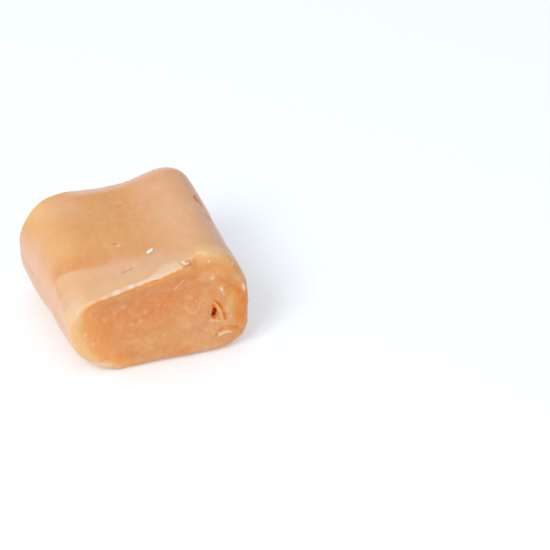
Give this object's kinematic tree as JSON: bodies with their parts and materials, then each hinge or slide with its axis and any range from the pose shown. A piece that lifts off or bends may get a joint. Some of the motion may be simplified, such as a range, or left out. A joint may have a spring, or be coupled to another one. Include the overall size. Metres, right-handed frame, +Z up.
{
  "type": "piece of butter fudge",
  "caption": "Hand-cut block of soft caramel fudge with rounded long sides, a sloping top with a shallow valley, and a cut front face hollowed under a thin lip, with an air hole and a slit.",
  "frame": {"origin": "centre of the flat base, on the surface that the piece rests on", "axes": "+X across the cut front face, from its low side to its high side; -Y out of the cut front face; +Z up"},
  "size_m": [0.0256, 0.024, 0.0162],
  "materials": {
    "butter_fudge": "satin, slightly translucent"
  },
  "bodies": {
    "root": {"fudge": "butter_fudge"}
  },
  "joints": []
}
